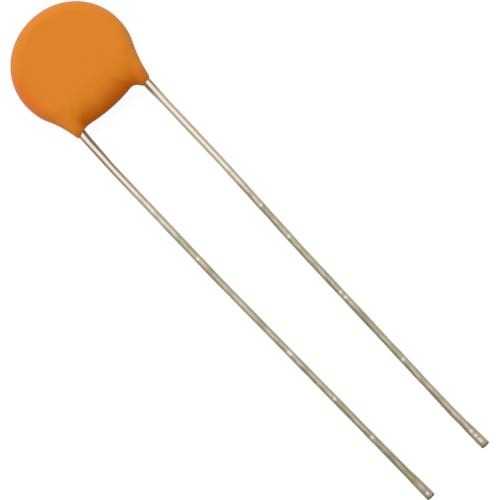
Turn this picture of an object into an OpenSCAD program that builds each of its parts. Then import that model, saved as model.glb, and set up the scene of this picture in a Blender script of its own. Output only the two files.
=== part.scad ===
// Dipped ceramic disc capacitor with two long tinned leads, lying on its rear face.
// Millimetres. The disc's axis is Z, the rear face lies on z = 0, the leads run towards -Y.

/* [Ceramic disc] */
// Diameter of the fired ceramic disc
ceramic_d = 7.8; // [7:0.1:9]
// Thickness of the ceramic disc
ceramic_t = 0.8; // [0.4:0.05:1.4]
// Chamfer around both faces of the ceramic disc
ceramic_chamfer = 0.1; // [0.05:0.01:0.15]
// Bare ceramic left between each silver electrode and the disc's rim
electrode_margin = 0.4; // [0.25:0.05:0.8]
// Thickness of each fired silver electrode
electrode_t = 0.03; // [0.02:0.01:0.06]

/* [Leads] */
// Diameter of the tinned lead wire
wire_d = 0.55; // [0.45:0.05:0.65]
// Nominal distance between the two leads
lead_pitch = 6.35; // [5.8:0.05:7]
// Free length of the leads, from the hem of the coating to the cut tips
lead_len = 38.3; // [20:0.1:45]
// Bend radius, at the wire's axis, of the jogs that lead each wire on to its electrode
jog_r = 0.6; // [0.5:0.05:0.7]
// How far inside the hem each wire turns from the free lead to its jog
jog_inset = 0.45; // [0.4:0.05:0.6]
// Distance of a wire's inner end from the disc's centre, across the leads
wire_end_x = 0.9; // [0.6:0.1:1.4]
// Distance of a wire's inner end from the disc's centre, away from the leads
wire_end_y = 1.4; // [0.8:0.1:1.8]
// Tin built up on the wire where it leaves the coating
root_build = 0.045; // [0.02:0.005:0.07]
// Length over which the tin at the root tapers off
root_len = 2.4; // [1.5:0.1:2.6]
// Tin built up on the wire at its cut tip
tip_build = 0.06; // [0.02:0.005:0.1]
// Length over which the tin grows towards the tip
tip_len = 5.2; // [3:0.1:6]
// Chamfer left by the shears at the tip
tip_chamfer = 0.06; // [0.03:0.01:0.1]

/* [Lead bends] */
// Distance of the left lead outside its nominal line where it leaves the coating
left_root_out = 0.01; // [-0.2:0.01:0.2]
// Share of the free length at which the left lead first bends
left_bend_1_at = 0.09; // [0.09:0.01:0.28]
// Distance of the left lead outside its nominal line at its first bend
left_bend_1_out = 0.155; // [-0.3:0.005:0.3]
// Share of the free length at which the left lead bends again
left_bend_2_at = 0.39; // [0.3:0.01:0.7]
// Distance of the left lead outside its nominal line at its second bend
left_bend_2_out = 0.155; // [-0.5:0.005:0.5]
// Distance of the left lead outside its nominal line at its tip
left_tip_out = -0.205; // [-0.8:0.005:0.8]
// Distance of the right lead outside its nominal line where it leaves the coating
right_root_out = -0.075; // [-0.2:0.005:0.2]
// Share of the free length at which the right lead first bends
right_bend_1_at = 0.23; // [0.23:0.01:0.28]
// Distance of the right lead outside its nominal line at its first bend
right_bend_1_out = -0.115; // [-0.3:0.005:0.3]
// Share of the free length at which the right lead bends again
right_bend_2_at = 0.46; // [0.3:0.01:0.7]
// Distance of the right lead outside its nominal line at its second bend
right_bend_2_out = -0.33; // [-0.5:0.01:0.5]
// Distance of the right lead outside its nominal line at its tip
right_tip_out = -0.515; // [-0.8:0.005:0.8]

/* [Solder] */
// Width of each solder joint on its electrode
solder_w = 1.5; // [1.2:0.1:1.8]
// Height of each solder joint above its electrode
solder_h = 0.42; // [0.36:0.01:0.48]
// Solder between a wire and its electrode
solder_film = 0.03; // [0.02:0.01:0.06]
// Thickness of the solder at the edge of the joint
solder_edge = 0.05; // [0.03:0.01:0.08]
// How far the round end of each solder joint is centred back from the wire's inner end
solder_setback = 0.2; // [0.1:0.05:0.4]
// Silver left bare between the other end of each solder joint and its electrode's rim
solder_margin = 0.15; // [0.1:0.05:0.3]

/* [Coating] */
// Coating outside the ceramic disc's rim
coat_rim = 1; // [0.8:0.025:1.2]
// How much the rim is flattened opposite the leads
rim_flat = 0.13; // [0:0.01:0.2]
// How much the rim is flattened beside the leads, where the legs' flare leaves it
side_flat = 0.07; // [0:0.01:0.12]
// Coating over the wires on each face
coat_face = 0.49; // [0.35:0.01:0.7]
// Coating below the ceramic disc, at the hem between the leads
coat_hem = 0.44; // [0.35:0.01:0.6]
// Rise of the hem for each millimetre from the middle, towards the left lead
hem_tilt = 0.022; // [0:0.002:0.05]
// How strongly the hem curves back towards the leads
hem_crown = 0.042; // [0.01:0.001:0.05]
// Length of the coating's leg below the hem on the left lead
left_leg_len = 0.35; // [0.3:0.01:0.8]
// Length of the coating's leg below the hem on the right lead
right_leg_len = 0.71; // [0.3:0.01:0.8]
// Slant of the legs' ends, as rise for each millimetre across
leg_slant = 0.25; // [0:0.05:0.5]
// Coating on the outer side of the wire at the end of a leg
outer_sheath_t = 0.15; // [0.06:0.01:0.2]
// Coating on the inner side of the wire at the end of a leg
inner_sheath_t = 0.06; // [0.02:0.01:0.1]
// Half thickness of the coating's edge at the rim
rim_edge_h = 1.0; // [0.85:0.01:1.15]
// Rounding of the coating's edge at the rim
rim_edge_round = 0.55; // [0.42:0.01:0.7]
// Width of the slope from the edge at the rim to the flat face
rim_slope = 0.95; // [0.8:0.05:1.45]
// Half thickness of the coating's edge at the hem
hem_edge_h = 0.5; // [0.42:0.01:0.57]
// Rounding of the coating's edge at the hem
hem_edge_round = 0.3; // [0.21:0.01:0.39]
// Width of the slope from the edge at the hem to the flat face
hem_slope = 2.2; // [1.87:0.05:2.53]
// Half thickness of the coating's edge over the wire, at the end of a leg
leg_edge_h = 0.47; // [0.4:0.01:0.54]
// Rounding of the coating's edge at the legs
leg_edge_round = 0.2; // [0.14:0.01:0.26]
// Half thickness of the coating's edge at the sides of a leg
leg_side_h = 0.3; // [0.25:0.01:0.35]
// Angle from the leads at which the legs' flare leaves the round rim
flare_angle = 75; // [70:1:90]

/* [Hidden] */

// Where each free lead wanders, as [share of the free length, distance outside the nominal line]
left_sway = [[0, left_root_out], [left_bend_1_at, left_bend_1_out], [left_bend_2_at, left_bend_2_out],
    [1, left_tip_out]];
right_sway = [[0, right_root_out], [right_bend_1_at, right_bend_1_out], [right_bend_2_at, right_bend_2_out],
    [1, right_tip_out]];
// Half thickness and rounding of the coating's edge
rim_edge = [rim_edge_h, rim_edge_round];
hem_edge = [hem_edge_h, hem_edge_round];
leg_edge = [leg_edge_h, leg_edge_round];
leg_side = [leg_side_h, leg_edge_round];

// Lengths of the tangents that shape a leg's flare, at the rim and at the leg
flare_rim_reach = 0.5;
flare_leg_reach = [0.3, 1.9];
// How closely the rim's two kinds of flattening keep to their places
top_sharpness = 4;
side_sharpness = 16;
// Widths, from the wire, of the fillet between a leg and the hem
fillet_start = 1.2;
fillet_turn = 0.75;
// Roundness of a leg's end
leg_bulge = 0.05;
// Angles from the leads, seen from the disc's centre, at which the slopes of the hem, of its fillet
// and of a leg end in the flat face
hem_fan = 11;
fillet_fan = 29;
leg_fan = 46;

// Straight steps in each jog of a wire
jog_steps = 3;
// Steps along each stretch of the outline, and up its edge
hem_steps = 14;
fillet_steps = 8;
leg_steps = 5;
flare_steps = 14;
rim_steps = 64;
round_steps = 5;
slope_steps = 6;
rings = round_steps + slope_steps;

wire_r = wire_d / 2;
root_r = wire_r + root_build;
tip_r = wire_r + tip_build;
ceramic_r = ceramic_d / 2;
electrode_r = ceramic_r - electrode_margin;
body_r = ceramic_r + coat_rim;
hem_d = ceramic_r + coat_hem;
tip_d = hem_d + lead_len;
electrode_top = ceramic_t / 2 + electrode_t;
wire_lift = electrode_top + solder_film + wire_r;
half_t = wire_lift + wire_r + coat_face;
mid_z = half_t;
// A wire is up on its electrode's level before it passes the ceramic disc's edge
jog_clear = wire_r;
// The joint's hollow flank leaves the chosen solder edge and runs into the wire, where its top is buried
solder_run = solder_w / 2 - wire_r / 2;
solder_rise = solder_h - solder_edge;
solder_fillet = (pow(solder_run, 2) + pow(solder_rise, 2)) / (2 * solder_rise);

$fn = 48;

function unit(v) = v / norm(v);
function mix(a, b, t) = a + (b - a) * t;
function ease(t) = t * t * (3 - 2 * t);
function bezier2(a, b, c, t) = mix(mix(a, b, t), mix(b, c, t), t);
function bezier3(a, b, c, d, t) = mix(bezier2(a, b, c, t), bezier2(b, c, d, t), t);
function flat(v) = [v[0], v[1]];

// Places along the leads, side being -1 for the left lead and 1 for the right one

function hem(x) = hem_d + hem_tilt * x - hem_crown * x * x;
function sway(side) = side < 0 ? left_sway : right_sway;
function leg_len(side) = side < 0 ? left_leg_len : right_leg_len;
function lead_x(side, i) = side * (lead_pitch / 2 + sway(side)[i][1]);
function leg_end(side) = hem(lead_x(side, 0)) + leg_len(side);
// The leads leave the body at its middle and sink to the table at their tips
function lead_z(side, d) = mix(mid_z, tip_r, max(0, d - leg_end(side)) / (tip_d - leg_end(side)));
function free_point(side, i) =
    let (d = hem_d + sway(side)[i][0] * lead_len)
    [lead_x(side, i), -d, lead_z(side, d)];

// Distance along a straight line, from a in the direction u, to the circle of radius r
function reach_circle(a, u, r) = -a * u - sqrt(pow(a * u, 2) - a * a + r * r);
function leave_circle(a, u, r) = -a * u + sqrt(pow(a * u, 2) - a * a + r * r);

function wire_turn(side) = [lead_x(side, 0), -(hem_d - jog_inset), mid_z];
function wire_end(side) = [side * wire_end_x, wire_end_y, mid_z + side * wire_lift];
function inward(side) = unit(flat(wire_end(side)) - flat(wire_turn(side)));
function wire_climb(side) =
    let (a = flat(wire_turn(side)))
    let (p = a + inward(side) * reach_circle(a, inward(side), ceramic_r + jog_clear))
    [p[0], p[1], mid_z + side * wire_lift];
// A bend at b, between a and c, in short straight steps around an arc
function turn_angle(a, b, c) = acos(unit(b - a) * unit(c - b));
function turn_side(u, v) = unit(v - u * (u * v));
function jog(a, b, c) =
    let (u = unit(b - a), w = turn_side(u, unit(c - b)), angle = turn_angle(a, b, c))
    let (centre = b - u * jog_r * tan(angle / 2) + w * jog_r, reach = jog_r / cos(angle / 2 / jog_steps))
    [for (k = [0 : jog_steps - 1])
        let (t = (k + 1 / 2) * angle / jog_steps)
        centre + reach * (u * sin(t) - w * cos(t))];
function lead_path(side) = concat(
    [wire_end(side)],
    jog(wire_end(side), wire_climb(side), wire_turn(side)),
    jog(wire_climb(side), wire_turn(side), free_point(side, 1)),
    [for (i = [1 : 3]) free_point(side, i)]);

// Outline of the coating, as [x, y, edge half thickness, edge rounding, angle where its slope ends]

function on_outline(p, edge, angle) = concat(p, edge, angle);
function hem_start(side) = lead_x(side, 0) - side * fillet_start;
function hem_turn(side) = lead_x(side, 0) - side * fillet_turn;
function leg_foot(side, out) = [lead_x(side, 0) + side * out, -leg_end(side) + side * out * leg_slant];
function inner_corner(side) = leg_foot(side, -root_r - inner_sheath_t);
function outer_corner(side) = leg_foot(side, root_r + outer_sheath_t);
function from_leads(a) = min(abs(a), 360 - abs(a));
function rim_point(a) =
    let (top = pow(max(0, -cos(a)), top_sharpness))
    let (flank = pow(max(0, cos(from_leads(a) - flare_angle)), side_sharpness))
    (body_r - rim_flat * top - side_flat * flank) * [sin(a), -cos(a)];

function hem_at(t) =
    let (x = mix(hem_start(-1), hem_start(1), t))
    on_outline([x, -hem(x)], hem_edge, mix(-hem_fan, hem_fan, t));
function fillet_at(side, t) = on_outline(
    bezier2([hem_start(side), -hem(hem_start(side))], [hem_turn(side), -hem(hem_turn(side))],
        inner_corner(side), t),
    mix(hem_edge, leg_side, ease(t)),
    side * mix(hem_fan, fillet_fan, t));
function leg_at(side, t) = on_outline(
    mix(inner_corner(side), outer_corner(side), t) - [0, leg_bulge * 4 * t * (1 - t)],
    mix(leg_side, leg_edge, sin(180 * t)),
    side * mix(fillet_fan, leg_fan, t));
function flare_at(side, t) =
    let (a = side * flare_angle, p = rim_point(a), q = outer_corner(side))
    on_outline(
        bezier3(q, q + [side * flare_leg_reach[0], flare_leg_reach[1]],
            p - side * flare_rim_reach * [cos(a), sin(a)], p, t),
        mix(leg_side, rim_edge, ease(t)),
        side * mix(leg_fan, flare_angle, t));
function rim_at(t) =
    let (a = mix(flare_angle, 360 - flare_angle, t))
    on_outline(rim_point(a), rim_edge, a);

outline = concat(
    [for (i = [0 : hem_steps - 1]) hem_at(i / hem_steps)],
    [for (i = [0 : fillet_steps - 1]) fillet_at(1, i / fillet_steps)],
    [for (i = [0 : leg_steps - 1]) leg_at(1, i / leg_steps)],
    [for (i = [0 : flare_steps - 1]) flare_at(1, i / flare_steps)],
    [for (i = [0 : rim_steps - 1]) rim_at(i / rim_steps)],
    [for (i = [flare_steps : -1 : 1]) flare_at(-1, i / flare_steps)],
    [for (i = [leg_steps : -1 : 1]) leg_at(-1, i / leg_steps)],
    [for (i = [fillet_steps : -1 : 1]) fillet_at(-1, i / fillet_steps)]);

// The coating's surface, on rings that climb from the outline to the flat face

function share(a, from, to) = max(0, min(1, (a - from) / (to - from)));
// Where the slope ends in the flat face, at an angle from the leads
function flat_r(a) = mix(
    (hem_d - hem_slope) / cos(min(a, leg_fan)),
    body_r - rim_slope,
    ease(share(a, fillet_fan, flare_angle)));
function flat_edge(a) = flat_r(from_leads(a)) * [sin(a), -cos(a)];
function quarter_round(t) = sqrt(1 - pow(1 - min(t, 1), 2));
function run_out(t) = 1 - pow(1 - min(t, 1), 2);
function ring_point(p, k, up) =
    let (way = flat_edge(p[4]) - flat(p), slope = norm(way))
    let (depth = k <= round_steps ? p[3] * (1 - cos(90 * k / round_steps))
        : mix(p[3], slope, (k - round_steps) / slope_steps))
    let (height = p[2] * quarter_round(depth / p[3]) + (half_t - p[2]) * run_out(depth / slope))
    concat(flat(p) + way * depth / slope, mid_z + up * height);

module frame(origin, x, y, z) {
    multmatrix([[x[0], y[0], z[0], origin[0]], [x[1], y[1], z[1], origin[1]], [x[2], y[2], z[2], origin[2]]])
        children();
}

// A wire is a row of straight runs, each mitred to the next in the frame where the last one ended

function bend_at(p, i) = turn_angle(p[i - 1], p[i], p[i + 1]);

module half_space(up) {
    translate([-wire_d, -wire_d, up > 0 ? 0 : -2 * wire_d])
        cube(2 * wire_d);
}

// A straight run of wire along Z, whose radius follows [distance, radius] pairs
module wire_run(profile) {
    rotate_extrude()
        polygon(concat([[0, profile[0][0]]], [for (p = profile) [p[1], p[0]]],
            [[0, profile[len(profile) - 1][0]]]));
}

module wire_from(side, p, i, x) {
    last = len(p) - 2;
    u = unit(p[i + 1] - p[i]);
    far = norm(p[i + 1] - p[i]);
    near_end = i > 0 ? -wire_r : 0;
    far_end = i < last ? far + wire_r : far;
    near_angle = i > 0 ? bend_at(p, i) : 0;
    far_angle = i < last ? bend_at(p, i + 1) : 0;
    inwards = i < last ? turn_side(u, unit(p[i + 2] - p[i + 1])) : x;
    roll = atan2(inwards * cross(u, x), inwards * x);
    root = leg_end(side) + p[i][1];
    difference() {
        wire_run(
            i == 2 * jog_steps ? [[near_end, wire_r], [wire_r / 2, wire_r], [root, root_r],
                [root + root_len, wire_r], [far_end, wire_r]]
            : i == last ? [[near_end, wire_r], [far - tip_len, wire_r], [far - tip_chamfer, tip_r],
                [far, tip_r - tip_chamfer]]
            : [[near_end, wire_r], [far_end, wire_r]]);
        if (i > 0)
            rotate([0, -near_angle / 2, 0])
                half_space(-1);
        if (i < last)
            translate([0, 0, far])
                rotate([0, 0, roll])
                    rotate([0, far_angle / 2, 0])
                        half_space(1);
    }
    if (i < last)
        translate([0, 0, far])
            rotate([0, 0, roll])
                rotate([0, far_angle / 2, 0])
                    rotate([0, far_angle / 2, 0])
                        wire_from(side, p, i + 1, inwards * cos(far_angle) - u * sin(far_angle));
}

module lead(side) {
    p = lead_path(side);
    u = unit(p[1] - p[0]);
    x = unit(cross(u, [0, 0, 1]));
    frame(p[0], x, cross(u, x), u)
        wire_from(side, p, 0, x);
}

module electrode(up) {
    translate([0, 0, mid_z + up * (ceramic_t + electrode_t) / 2])
        cylinder(r = electrode_r, h = electrode_t, center = true);
}

module solder_half() {
    difference() {
        square([solder_w / 2, solder_h]);
        translate([solder_w / 2, solder_edge + solder_fillet])
            circle(solder_fillet);
    }
}

// A solder joint runs along its wire, with round ends that stay on the electrode
module solder_mound(side) {
    u = -inward(side);
    a = flat(wire_end(side)) + u * solder_setback;
    far = leave_circle(a, u, electrode_r - solder_margin - solder_w / 2);
    translate([a[0], a[1], mid_z + side * electrode_top])
        mirror([0, 0, side < 0 ? 1 : 0])
            rotate([0, 0, atan2(u[1], u[0]) - 90]) {
                rotate([90, 0, 180])
                    linear_extrude(far) {
                        solder_half();
                        mirror([1, 0])
                            solder_half();
                    }
                rotate([0, 0, 180])
                    rotate_extrude(angle = 180)
                        solder_half();
                translate([0, far, 0])
                    rotate_extrude(angle = 180)
                        solder_half();
            }
}

module solder(side) {
    difference() {
        solder_mound(side);
        lead(side);
    }
}

module coat_skin() {
    n = len(outline);
    points = concat(
        [for (k = [0 : rings]) for (p = outline) ring_point(p, k, 1)],
        [for (k = [1 : rings]) for (p = outline) ring_point(p, k, -1)],
        [[0, 0, mid_z + half_t], [0, 0, mid_z - half_t]]);
    front = [for (k = [0 : rings]) k * n];
    rear = [for (k = [0 : rings]) k == 0 ? 0 : (rings + k) * n];
    front_middle = len(points) - 2;
    rear_middle = len(points) - 1;
    faces = [for (i = [0 : n - 1]) each
        let (j = (i + 1) % n)
        concat(
            [for (k = [0 : rings - 1]) each
                [[front[k] + i, front[k + 1] + i, front[k] + j],
                [front[k] + j, front[k + 1] + i, front[k + 1] + j]]],
            [for (k = [0 : rings - 1]) each
                [[rear[k] + i, rear[k] + j, rear[k + 1] + i],
                [rear[k] + j, rear[k + 1] + j, rear[k + 1] + i]]],
            [[front[rings] + i, front_middle, front[rings] + j],
            [rear[rings] + j, rear_middle, rear[rings] + i]])];
    polyhedron(points, faces, convexity = 6);
}

module ceramic_disc() {
    color("#C9B48A")
        translate([0, 0, mid_z - ceramic_t / 2])
            rotate_extrude()
                polygon([[0, 0], [ceramic_r - ceramic_chamfer, 0], [ceramic_r, ceramic_chamfer],
                    [ceramic_r, ceramic_t - ceramic_chamfer], [ceramic_r - ceramic_chamfer, ceramic_t],
                    [0, ceramic_t]]);
}

module front_electrode() {
    color("#D8D8D4")
        electrode(1);
}

module rear_electrode() {
    color("#D8D8D4")
        electrode(-1);
}

module front_solder() {
    color("#A9A9A4")
        solder(1);
}

module rear_solder() {
    color("#A9A9A4")
        solder(-1);
}

module left_lead() {
    color("#B0A58C")
        lead(-1);
}

module right_lead() {
    color("#B0A58C")
        lead(1);
}

module coating() {
    color("#DE8127")
        difference() {
            coat_skin();
            ceramic_disc();
            electrode(1);
            electrode(-1);
            solder_mound(1);
            solder_mound(-1);
            lead(1);
            lead(-1);
        }
}

coating();
ceramic_disc();
front_electrode();
rear_electrode();
front_solder();
rear_solder();
left_lead();
right_lead();
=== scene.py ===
import math
import random

import bmesh
import bpy
from mathutils import Euler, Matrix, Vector


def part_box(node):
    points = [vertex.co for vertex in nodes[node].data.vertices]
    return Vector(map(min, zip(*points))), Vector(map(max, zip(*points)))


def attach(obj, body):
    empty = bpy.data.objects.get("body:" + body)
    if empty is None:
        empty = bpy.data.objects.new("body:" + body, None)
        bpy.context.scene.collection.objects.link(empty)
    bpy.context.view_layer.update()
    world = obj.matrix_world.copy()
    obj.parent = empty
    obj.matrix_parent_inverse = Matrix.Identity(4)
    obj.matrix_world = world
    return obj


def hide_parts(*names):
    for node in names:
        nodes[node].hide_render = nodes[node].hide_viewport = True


mm = 0.001

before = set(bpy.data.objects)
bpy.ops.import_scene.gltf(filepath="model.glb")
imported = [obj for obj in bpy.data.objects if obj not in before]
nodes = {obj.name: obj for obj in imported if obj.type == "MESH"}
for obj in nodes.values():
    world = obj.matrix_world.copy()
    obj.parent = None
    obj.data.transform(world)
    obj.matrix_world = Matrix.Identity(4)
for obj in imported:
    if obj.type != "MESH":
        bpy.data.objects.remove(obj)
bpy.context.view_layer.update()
print("frame loaded:", len(nodes), "nodes")


def tone(code):
    # sRGB hex code to linear colour
    parts = [int(code[i:i + 2], 16) / 255 for i in (1, 3, 5)]
    return [p / 12.92 if p <= 0.04045 else ((p + 0.055) / 1.055) ** 2.4 for p in parts] + [1]


def fade(value, start, end):
    # 0 at start, 1 at end, eased at both
    share = max(0, min(1, (value - start) / (end - start)))
    return share * share * (3 - 2 * share)


def blend(start, end, share):
    return start + (end - start) * share


def addNode(tree, kind, settings, links=None):
    node = tree.nodes.new(kind)
    for name, value in settings.items():
        if isinstance(name, int) or name in node.inputs:
            node.inputs[name].default_value = value
        else:
            setattr(node, name, value)
    for name, socket in (links or {}).items():
        tree.links.new(socket, node.inputs[name])
    return node


def ownValues(tree, *names):
    # what the piece's own vertices carry
    return {name: addNode(tree, "ShaderNodeAttribute", {"attribute_name": name}).outputs["Fac"]
            for name in names}


def grain(tree, size, detail, stretch=(1, 1, 1)):
    # noise whose blotches are size mm wide on the piece itself
    place = addNode(tree, "ShaderNodeTexCoord", {})
    fit = addNode(tree, "ShaderNodeMapping", {"Scale": [1 / (size * mm * s) for s in stretch]},
                  {"Vector": place.outputs["Object"]})
    noise = addNode(tree, "ShaderNodeTexNoise", {"Scale": 1, "Detail": detail}, {"Vector": fit.outputs[0]})
    return noise.outputs[0]


def ramp(tree, value, span, result=(0, 1), kind="LINEAR"):
    settings = {"interpolation_type": kind, "From Min": span[0], "From Max": span[1],
                "To Min": result[0], "To Max": result[1]}
    return addNode(tree, "ShaderNodeMapRange", settings, {"Value": value}).outputs[0]


def combine(tree, operation, first, second, clamp=True):
    settings = {"operation": operation, "use_clamp": clamp}
    return addNode(tree, "ShaderNodeMath", settings, {0: first, 1: second}).outputs[0]


def mixTone(tree, share, first, second):
    # first turns into second as the share grows, and each is a hex code or a socket
    settings = {"data_type": "RGBA"}
    links = {0: share}
    for index, color in ((6, first), (7, second)):  # the node's two colour sockets
        if isinstance(color, str):
            settings[index] = tone(color)
        else:
            links[index] = color
    return addNode(tree, "ShaderNodeMix", settings, links).outputs[2]


def newMaterial(name):
    material = bpy.data.materials.new(name)
    material.use_nodes = True
    tree = material.node_tree
    tree.nodes.clear()
    return material, tree


def toOutput(tree, shader):
    addNode(tree, "ShaderNodeOutputMaterial", {}, {"Surface": shader.outputs[0]})


def newPiece(name, bm, materials, node):
    mesh = bpy.data.meshes.new(name)
    bm.to_mesh(mesh)
    bm.free()
    for face in mesh.polygons:
        face.use_smooth = True
    for material in materials:
        mesh.materials.append(material)
    piece = bpy.data.objects.new(name, mesh)
    bpy.context.scene.collection.objects.link(piece)
    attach(piece, "root")
    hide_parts(node)
    return piece


def onlyVerts(geom):
    return [g for g in geom if isinstance(g, bmesh.types.BMVert)]


# epoxy coating: satin orange resin, dipped over the disc and drawn down on to both wires
# lengths in mm from the disc's centre, angles in degrees

coat = {
    "color": "#E1810D",
    "paintedShadeColor": "#BE5804",  # painted shade along the hem and the legs
    "edgeShadeColor": "#987440",  # painted brown shade on the turned edge
    "warmColor": "#E17208",  # the redder flank
    "roughness": 0.5,
    "sheen": 0.25,  # specular level of the faces
    "rimSheen": 0.17,  # of the rim
    "sideSheen": 0.04,  # of the rim towards the hem
    "glossTurn": (0.25, 0.6),  # turn of the surface over which the rim's sheen sets in
    "sheenDrop": 2,  # how fast the side's sheen takes over towards the hem
    "grainSize": 0.22,
    "grainHeight": 0.0006,
    "grainDetail": 3,
    "hemward": (-1.5, 3.5),  # from the top half to the hem
    "topEdgeShade": 0.18,
    "hemEdgeShade": 0.4,
    "edgeShadeTurn": (0.35, 0.7),
    "shadeWidth": 2.5,  # half the hem between the legs
    "shadeEase": 0.7,
    "shadeDrop": (0, 0.5),  # share of half the thickness
    "shadeReach": (1.5, 2.5),
    "legShade": 0.5,
    "legReach": (3.2, 4.2),
    "warmAt": 92,
    "warmSpread": (42, 15),
    "warmReach": (3.5, 4.4),
    "weld": 0.002,
    "shellAngle": 55,  # a sharper edge ends the outer skin
    "flatness": 0.99999,
    "faceRings": (0.93, 0.85, 0.6),
    "quadAngle": 60,
    "quadShape": 70,
    "lipDepth": 0.25,
    "lipSink": 0.03,
    "blendRounds": 18,
    "blendPull": 0.5,
    "blendFrom": 0.3,  # height off the middle plane
    "blendBelow": -1.8,
    "smoothing": 2,
}


def resinMaterial():
    # an even, opaque orange with a soft sheen, with painted shade along the hem and the legs and painted
    # brown shade at its edge
    material, tree = newMaterial("orange_epoxy_resin")
    own = ownValues(tree, "paintedShade", "edgeShade", "warmed", "glossy")
    body = mixTone(tree, own["warmed"], coat["color"], coat["warmColor"])
    # painted shade along the hem and the legs
    deep = mixTone(tree, own["paintedShade"], body, coat["paintedShadeColor"])
    # painted brown shade where the surface turns away at the edge
    color = mixTone(tree, own["edgeShade"], deep, coat["edgeShadeColor"])
    fine = grain(tree, coat["grainSize"], coat["grainDetail"])
    bump = addNode(tree, "ShaderNodeBump", {"Distance": coat["grainHeight"] * mm}, {"Height": fine})
    shader = addNode(tree, "ShaderNodeBsdfPrincipled",
                     {"Roughness": coat["roughness"], "Specular IOR Level": coat["sheen"]},
                     {"Base Color": color, "Specular IOR Level": own["glossy"], "Normal": bump.outputs[0]})
    toOutput(tree, shader)
    return material


def outerSkin():
    # the outer skin is what a walk from the face reaches without turning a sharp edge
    bm = bmesh.new()
    bm.from_mesh(nodes["coating"].data)
    bmesh.ops.remove_doubles(bm, verts=bm.verts, dist=coat["weld"] * mm)
    sharp = math.radians(coat["shellAngle"])
    start = max(bm.faces, key=lambda f: f.calc_center_median().z)
    skin = {start}
    front = [start]
    while front:
        face = front.pop()
        for edge in face.edges:
            if len(edge.link_faces) == 2 and edge.calc_face_angle() < sharp:
                for other in edge.link_faces:
                    if other not in skin:
                        skin.add(other)
                        front.append(other)
    bmesh.ops.delete(bm, geom=[f for f in bm.faces if f not in skin], context="FACES")
    return bm


def ringFaces(bm):
    # each flat face becomes rings around its middle
    for way in (1, -1):
        level = [f for f in bm.faces if f.normal.z * way > coat["flatness"]]
        plate = bmesh.ops.dissolve_faces(bm, faces=level, use_verts=False)["region"]
        for shrink in coat["faceRings"]:
            grown = bmesh.ops.extrude_face_region(bm, geom=plate)["geom"]
            bmesh.ops.delete(bm, geom=plate, context="FACES_ONLY")
            plate = [g for g in grown if isinstance(g, bmesh.types.BMFace)]
            bmesh.ops.scale(bm, vec=(shrink, shrink, 1), verts=onlyVerts(grown))
        bmesh.ops.poke(bm, faces=plate)
    bmesh.ops.join_triangles(bm, faces=[f for f in bm.faces if len(f.verts) == 3],
                             angle_face_threshold=math.radians(coat["quadAngle"]),
                             angle_shape_threshold=math.radians(coat["quadShape"]))


def tuckLips(bm):
    # the resin's edge dips into each wire and carries on inwards as a lip
    rim = [e for e in bm.edges if e.is_boundary]
    print("coating skin:", len(bm.faces), "faces,", len(rim), "edges at the wires")
    for side in (-1, 1):
        loop = [e for e in rim if e.verts[0].co.x * side > 0]
        ends = set(v for e in loop for v in e.verts)
        low = Vector([min(v.co[i] for v in ends) for i in range(3)])
        high = Vector([max(v.co[i] for v in ends) for i in range(3)])
        middle = (low + high) / 2
        for v in ends:
            out = Vector((v.co.x - middle.x, 0, v.co.z - middle.z))
            v.co -= out.normalized() * coat["lipSink"] * mm
        lip = bmesh.ops.extrude_edge_only(bm, edges=loop)["geom"]
        bmesh.ops.translate(bm, vec=(0, coat["lipDepth"] * mm, 0), verts=onlyVerts(lip))


def meltSlopes(bm, middle):
    # the slopes of the hem and of the legs melt into each other
    slopes = [v for v in bm.verts if v.co.y < coat["blendBelow"] * mm and not v.is_boundary
              and abs(v.co.z - middle) > coat["blendFrom"] * mm]
    for _ in range(coat["blendRounds"]):
        bmesh.ops.smooth_vert(bm, verts=slopes, factor=coat["blendPull"], use_axis_x=False,
                              use_axis_y=False, use_axis_z=True)


def paintResin(bm, middle, half):
    # painted shade darkens the hem and the legs and takes their sheen, painted brown shade darkens the
    # turned edge, which loses its gloss towards the hem, and one flank is a little redder
    paintedShade, edgeShade, warmed, glossy = [bm.verts.layers.float.new(name)
                                       for name in ("paintedShade", "edgeShade", "warmed", "glossy")]
    bm.normal_update()
    for v in bm.verts:
        along = -v.co.y / mm
        drop = 1 - abs(v.co.z - middle) / half
        between = fade(abs(v.co.x) / mm, coat["shadeWidth"] + coat["shadeEase"], coat["shadeWidth"])
        hem = fade(drop, *coat["shadeDrop"]) * between * fade(along, *coat["shadeReach"])
        # painted shade on the hem's slope between the legs and on the legs
        v[paintedShade] = max(hem, coat["legShade"] * fade(along, *coat["legReach"]))
        turned = 1 - abs(v.normal.z)
        hemward = fade(along, *coat["hemward"])
        brown = blend(coat["topEdgeShade"], coat["hemEdgeShade"], hemward)
        # painted brown shade on the turned edge, stronger towards the hem
        v[edgeShade] = brown * fade(turned, *coat["edgeShadeTurn"])
        edgeSheen = blend(coat["rimSheen"], coat["sideSheen"], min(1, coat["sheenDrop"] * hemward))
        sheen = blend(coat["sheen"], edgeSheen, fade(turned, *coat["glossTurn"]))
        v[glossy] = sheen * (1 - v[paintedShade])
        around = math.degrees(math.atan2(-v.co.x, -v.co.y))
        flank = fade(abs(around - coat["warmAt"]), *coat["warmSpread"])
        v[warmed] = fade(v.co.xy.length / mm, *coat["warmReach"]) * flank


def coatShell():
    bm = outerSkin()
    ringFaces(bm)
    tuckLips(bm)
    low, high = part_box("coating")
    half = (high.z - low.z) / 2
    middle = low.z + half
    meltSlopes(bm, middle)
    paintResin(bm, middle, half)
    return bm


coatPiece = newPiece("coating_skin", coatShell(), [resinMaterial()], "coating")
smooth = coatPiece.modifiers.new("smooth", "SUBSURF")
smooth.levels = coat["smoothing"]
smooth.render_levels = coat["smoothing"]
print("coating made")


# leads: tinned wire with a painted highlight along the crest and painted shade on the flanks, dull and
# mottled further out, sheared off at the tips
# lengths in mm, reaches in mm from the disc's centre along the leads

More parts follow.
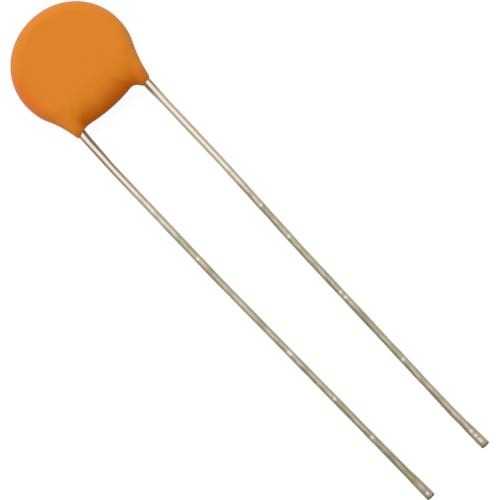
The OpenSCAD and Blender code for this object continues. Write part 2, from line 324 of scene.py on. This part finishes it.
wire = {
    "crestHighlightColor": "#FFF6E4",  # painted highlight along the crest near the body
    # painted shade on the flanks near the body, deeper towards the root
    "nearFlankShade": "#BFB29C",
    "rootShadeColor": "#8A7A60",
    "dullColor": "#D0C5AD",  # further out
    # painted shade on the flanks further out
    "farFlankShade": "#B5AA92",
    "sideShadeColor": "#8F8670",  # painted shade on one side
    "spotColor": "#938A6C",
    # painted glints
    "glintColor": "#FFF8E6",
    "cutColor": "#3E3628",
    "brightRoughness": 0.3,
    "dullRoughness": 0.5,
    "cutRoughness": (0.45, 0.7),
    "highlightSpan": (0.845, 0.995),  # of the crest
    "topLightSpan": (0.7, 0.98),
    "blotchSize": 0.45,
    "blotchStretch": (0.6, 2, 0.6),
    "blotchDetail": 3,
    "mottleSpan": (0.35, 0.65),
    "mottleShare": 0.25,
    "cloudSize": 1.6,
    "cloudStretch": (1, 1.2, 1),
    "cloudDetail": 2,
    "spotSpan": (0.45, 0.75),
    "spotShare": 0.5,
    "scratchSize": 0.05,
    "scratchStretch": (1, 1, 4),
    "scratchDetail": 2,
    "sides": 36,
    "step": 0.05,
    "weld": 0.0005,
    "innerEnd": 0.3,
    "tipChamfer": 0.06,
    "cutBand": 0.05,
    "settleReach": 0.4,
    "settleRounds": 2,
    "waver": 0.01,
    "waverStep": 1.1,
    "waverClear": 1,  # the ends keep their size
    "seed": 7,
    "rootSwell": 0.03,
    "swellReach": (20, 8),
    "rootTilt": 9,  # degrees by which the painted highlight line turns outwards
    "tiltReach": (7, 5),
    "tipSwell": 0.03,
    "tipReach": (40.1, 40.9),
    "leanFrom": 39,
    "leanOver": 3.6,
    "sideShadeSpan": (-0.1, 0.75),
    "sideShadeEase": 0.45,
    "agedReach": (28, 38),
    "sheenGain": 1.2,
    "glintSize": 0.12,
    "leftRoot": (13, 5),
    "rightRoot": (6.5, 5),
    "leftBright": (18, 8),
    "rightBright": (18.5, 12),
    "leftEased": (30, 24),
    "rightEased": (23, 18),
    "leftAged": 0.35,
    "rightAged": 0.12,
    "leftLean": 0.03,
    "rightLean": 0.13,
    "leftGlints": [12.2, 17.2, 27.1, 27.3, 32.1, 36.2, 42.2],
    "rightGlints": [17.5, 20.7, 26.5, 27.05, 33.5, 41.05, 41.55, 41.95, 42.15],
}


def tinMaterial():
    # a painted highlight line on painted shade of the flanks near the body, dull khaki further out with a
    # painted lighter top and painted shade on one side, and painted glints
    material, tree = newMaterial("tinned_copper_wire")
    own = ownValues(tree, "crest", "shadedSide", "sheen", "root", "aged", "glint")
    blotch = grain(tree, wire["blotchSize"], wire["blotchDetail"], wire["blotchStretch"])
    mottle = ramp(tree, blotch, wire["mottleSpan"], (-wire["mottleShare"], wire["mottleShare"]))
    # near the body
    # painted highlight along the crest
    crestHighlight = ramp(tree, own["crest"], wire["highlightSpan"], kind="SMOOTHSTEP")
    # painted shade on the flanks, with painted shade and painted reflection of the body near the root
    flank = mixTone(tree, own["root"], wire["nearFlankShade"], wire["rootShadeColor"])
    near = mixTone(tree, crestHighlight, flank, wire["crestHighlightColor"])
    # further out
    # painted highlight on the top, painted shade on the flanks
    topLight = ramp(tree, own["crest"], wire["topLightSpan"])
    dull = mixTone(tree, topLight, wire["farFlankShade"], wire["dullColor"])
    # painted shade on one side, broken by the mottle
    dark = combine(tree, "SUBTRACT", own["shadedSide"], mottle)
    plain = mixTone(tree, dark, dull, wire["sideShadeColor"])
    cloud = grain(tree, wire["cloudSize"], wire["cloudDetail"], wire["cloudStretch"])
    spot = ramp(tree, cloud, wire["spotSpan"], (0, wire["spotShare"]))
    stain = combine(tree, "ADD", spot, own["aged"])
    far = mixTone(tree, stain, plain, wire["spotColor"])
    # the two run into each other
    polish = combine(tree, "ADD", own["sheen"], mottle)
    metal = mixTone(tree, polish, far, near)
    # painted glints
    color = mixTone(tree, own["glint"], metal, wire["glintColor"])
    rough = ramp(tree, polish, (0, 1), (wire["dullRoughness"], wire["brightRoughness"]))
    shader = addNode(tree, "ShaderNodeBsdfPrincipled", {"Metallic": 1},
                     {"Base Color": color, "Roughness": rough})
    toOutput(tree, shader)
    return material


def shearedMaterial():
    # the cut end, where grey-brown metal shows under the tin
    material, tree = newMaterial("sheared_wire_end")
    scratch = grain(tree, wire["scratchSize"], wire["scratchDetail"], wire["scratchStretch"])
    rough = ramp(tree, scratch, (0, 1), wire["cutRoughness"])
    shader = addNode(tree, "ShaderNodeBsdfPrincipled",
                     {"Metallic": 1, "Base Color": tone(wire["cutColor"])}, {"Roughness": rough})
    toOutput(tree, shader)
    return material


def settle(values, reach):
    # each value becomes the mean of its neighbours
    groups = [values[max(0, i - reach):i + reach + 1] for i in range(len(values))]
    return [sum(group, group[0] * 0) / len(group) for group in groups]


def slices(node):
    # centre and radius of the wire at even steps from its inner end to its tip
    mesh = nodes[node].data
    ends = [[mesh.vertices[i].co for i in e.vertices] for e in mesh.edges]
    low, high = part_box(node)
    first = high.y - wire["innerEnd"] * mm
    last = low.y + wire["step"] * mm
    count = round((first - last) / (wire["step"] * mm))
    middles, radii = [], []
    for i in range(count + 1):
        y = first + (last - first) * i / count
        hits = [a.lerp(b, (y - a.y) / (b.y - a.y)) for a, b in ends if (a.y - y) * (b.y - y) < 0]
        spans = [[h[k] for h in hits] for k in range(3)]
        middles.append(Vector([(min(span) + max(span)) / 2 for span in spans]))
        radii.append(max((h - middles[-1]).length for h in hits))
    reach = round(wire["settleReach"] / wire["step"])
    for _ in range(wire["settleRounds"]):
        inner = settle(middles, reach)
        middles = middles[:reach] + inner[reach:-reach] + middles[-reach:]
        radii = settle(radii, reach)
    rows = list(zip(middles, radii))
    # the tip's chamfer and its cut
    middle, radius = rows[-1]
    ahead = (middle - rows[-1 - reach][0]).normalized()
    gap = middle.y - low.y
    rows.append((middle + ahead * (gap - wire["tipChamfer"] * mm), radius))
    rows.append((middle + ahead * gap, radius - wire["tipChamfer"] * mm))
    return rows


def leadShell(node, side):
    rows = slices(node)
    clear = round(wire["waverClear"] / wire["step"])
    draw = random.Random(wire["seed"] + len(node))
    count = int(len(rows) * wire["step"] / wire["waverStep"]) + 3  # a few to spare
    knots = [draw.uniform(-1, 1) for _ in range(count)]
    outward = 1 if side == "right" else -1
    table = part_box(node)[0].z
    bm = bmesh.new()
    crest, shadedSide, sheen, root, aged, glint = [
        bm.verts.layers.float.new(name) for name in ("crest", "shadedSide", "sheen", "root", "aged", "glint")]
    # a flat grid, one row to each slice, is rolled up into the wire
    bmesh.ops.create_grid(bm, x_segments=wire["sides"], y_segments=len(rows) - 1, size=0.5)
    for v in bm.verts:
        i = round((v.co.y + 0.5) * (len(rows) - 1))
        spin = 2 * math.pi * (v.co.x + 0.5)
        out = Vector((math.sin(spin), 0, math.cos(spin)))
        middle, radius = rows[i]
        along = -middle.y / mm
        at = i * wire["step"] / wire["waverStep"]
        knot = int(at)
        waver = blend(knots[knot], knots[knot + 1], fade(at - knot, 0, 1))
        if clear < i < len(rows) - clear:
            radius += waver * wire["waver"] * mm
        # tin gathers at the root and the tip, the shears pushed the tip aside, and the table stops it
        radius += wire["rootSwell"] * mm * fade(along, *wire["swellReach"])
        radius += wire["tipSwell"] * mm * fade(along, *wire["tipReach"])
        lean = wire[side + "Lean"] * mm * max(0, along - wire["leanFrom"]) / wire["leanOver"]
        v.co = middle + out * radius + Vector((lean, 0, 0))
        v.co.z = max(v.co.z, table)
        # what the tin's colours go by, the painted highlight, shade and glints among them
        tilt = math.radians(wire["rootTilt"]) * fade(along, *wire["tiltReach"])
        v[crest] = math.cos(spin - outward * tilt)
        eased = wire["sideShadeEase"] * fade(along, *wire[side + "Eased"])
        # painted shade on one side, eased on the near stretch
        v[shadedSide] = fade(-out.x, *wire["sideShadeSpan"]) * (1 - eased)
        v[aged] = wire[side + "Aged"] * fade(along, *wire["agedReach"])
        v[sheen] = wire["sheenGain"] * fade(along, *wire[side + "Bright"])
        # painted shade and painted reflection of the body near the root
        v[root] = fade(along, *wire[side + "Root"])
        # painted glints at the listed places along the top of the wire
        spread = min(math.hypot(along - g, out.x * radius / mm) for g in wire[side + "Glints"])
        v[glint] = math.exp(-(spread / wire["glintSize"]) ** 2) if out.z > 0 else 0
    bmesh.ops.remove_doubles(bm, verts=bm.verts, dist=wire["weld"] * mm)
    caps = bmesh.ops.holes_fill(bm, edges=[e for e in bm.edges if e.is_boundary], sides=0)["faces"]
    for cap in caps:
        for edge in cap.edges:
            edge.smooth = False
    cut = rows[-2][0].y + wire["cutBand"] * mm
    for face in bm.faces:
        face.material_index = int(face in caps or face.calc_center_median().y < cut)
    bmesh.ops.recalc_face_normals(bm, faces=bm.faces)
    print(node, "has", len(rows), "rings and", len(caps), "cut ends")
    return bm


tin = [tinMaterial(), shearedMaterial()]
for side in ("left", "right"):
    newPiece(side + "_lead_wire", leadShell(side + "_lead", side), tin, side + "_lead")
print("leads made")


# the parts inside the coating keep their own solids, grain in mm

inside = {
    "ceramicColor": "#C9B48A",
    "ceramicRoughness": 0.6,
    "ceramicGrain": 0.08,
    "silverColor": "#D8D8D4",
    "silverRoughness": 0.4,
    "silverGrain": 0.05,
    "solderColor": "#A9A9A4",
    "solderRoughness": 0.35,
    "solderGrain": 0.12,
    "roughnessSpread": 0.08,
    "grainDetail": 3,
}


def plainMaterial(name, kind, metallic):
    # a matt body with a fine grain, close to what the bare piece shows
    material, tree = newMaterial(name)
    fine = grain(tree, inside[kind + "Grain"], inside["grainDetail"])
    level = inside[kind + "Roughness"]
    spread = inside["roughnessSpread"]
    rough = ramp(tree, fine, (0, 1), (level - spread, level + spread))
    shader = addNode(tree, "ShaderNodeBsdfPrincipled",
                     {"Base Color": tone(inside[kind + "Color"]), "Metallic": metallic},
                     {"Roughness": rough})
    toOutput(tree, shader)
    return material


def dress(names, material):
    for name in names:
        nodes[name].data.materials.clear()
        nodes[name].data.materials.append(material)


dress(["ceramic_disc"], plainMaterial("titanate_ceramic", "ceramic", 0))
dress(["front_electrode", "rear_electrode"], plainMaterial("fired_silver", "silver", 1))
dress(["front_solder", "rear_solder"], plainMaterial("soft_solder", "solder", 1))
print("inner parts dressed")


# studio: a pale floor, an even sky that is brightest overhead, and one soft lamp beyond the disc
# lengths in metres

studio = {
    "floorColor": "#F4F4F4",
    "floorGlow": 0.91,
    "floorShade": 0.13,  # how much of the shadow shows
    "floorSize": 6.0,
    "skyLevel": 1.0,
    "skyGlow": 0.1,
    "skySpan": (0.7, 0.97),  # height at which the glow sets in
    "skyLean": (0.0, 0.25, 0),
    "lampPower": 0.5,
    "lampSize": 0.3,
    "lampReach": 0.5,
    "lampLean": 35,  # degrees from overhead
}


def floorMaterial():
    # white to the eye, with the object's own faint shadow left on it
    material, tree = newMaterial("studio_paper")
    ray = addNode(tree, "ShaderNodeLightPath", {})
    seen = combine(tree, "ADD", ray.outputs["Is Camera Ray"], ray.outputs["Is Glossy Ray"])
    shown = combine(tree, "ADD", seen, ray.outputs["Is Transmission Ray"])
    plain = addNode(tree, "ShaderNodeBsdfDiffuse", {"Color": tone(studio["floorColor"])})
    glow = addNode(tree, "ShaderNodeEmission", {"Strength": studio["floorGlow"]})
    shade = addNode(tree, "ShaderNodeBsdfDiffuse", {"Color": [studio["floorShade"]] * 3 + [1]})
    both = addNode(tree, "ShaderNodeAddShader", {}, {0: glow.outputs[0], 1: shade.outputs[0]})
    pick = addNode(tree, "ShaderNodeMixShader", {}, {0: shown, 1: plain.outputs[0], 2: both.outputs[0]})
    toOutput(tree, pick)
    return material


bm = bmesh.new()
bmesh.ops.create_grid(bm, x_segments=1, y_segments=1, size=studio["floorSize"] / 2)
mesh = bpy.data.meshes.new("floor")
bm.to_mesh(mesh)
bm.free()
mesh.materials.append(floorMaterial())
floor = bpy.data.objects.new("floor", mesh)
bpy.context.scene.collection.objects.link(floor)

world = bpy.data.worlds.new("studio")
bpy.context.scene.world = world
world.use_nodes = True
sky = world.node_tree
sky.nodes.clear()
way = addNode(sky, "ShaderNodeTexCoord", {}).outputs["Generated"]
axes = addNode(sky, "ShaderNodeSeparateXYZ", {}, {0: way})
glow = ramp(sky, axes.outputs["Z"], studio["skySpan"],
            (studio["skyLevel"], studio["skyLevel"] + studio["skyGlow"]), "SMOOTHSTEP")
leaned = addNode(sky, "ShaderNodeVectorMath", {"operation": "DOT_PRODUCT", 1: studio["skyLean"]}, {0: way})
lift = addNode(sky, "ShaderNodeMath", {"operation": "ADD", 1: 1}, {0: leaned.outputs["Value"]})
level = combine(sky, "MULTIPLY", glow, lift.outputs[0], clamp=False)
air = addNode(sky, "ShaderNodeBackground", {}, {"Strength": level})
addNode(sky, "ShaderNodeOutputWorld", {}, {"Surface": air.outputs[0]})

lamp = bpy.data.lights.new("soft_box", "AREA")
lamp.size = studio["lampSize"]
lamp.energy = studio["lampPower"]
lampLean = math.radians(studio["lampLean"])
softBox = bpy.data.objects.new("soft_box", lamp)
softBox.location = Vector((0, math.sin(lampLean), math.cos(lampLean))) * studio["lampReach"]
softBox.rotation_euler = Euler((-lampLean, 0, 0))
softBox.visible_camera = False
bpy.context.scene.collection.objects.link(softBox)


# camera: straight above, turned so that the leads run to the lower right corner

shot = {
    "aim": (0, -19.43, 1.5),  # mm
    "turn": -43.5,  # degrees
    "away": 400,  # mm
    "field": 38.05,  # mm across the picture
    "sensor": 36,
    "clip": (0.01, 10),  # metres
}

lens = bpy.data.cameras.new("camera")
lens.sensor_width = shot["sensor"]
lens.lens = shot["sensor"] * shot["away"] / shot["field"]
lens.clip_start, lens.clip_end = shot["clip"]
camera = bpy.data.objects.new("camera", lens)
camera.location = (Vector(shot["aim"]) + Vector((0, 0, shot["away"]))) * mm
camera.rotation_euler = Euler((0, 0, math.radians(shot["turn"])))
bpy.context.scene.collection.objects.link(camera)
bpy.context.scene.camera = camera
bpy.context.scene.view_settings.view_transform = "Standard"
print("studio ready")
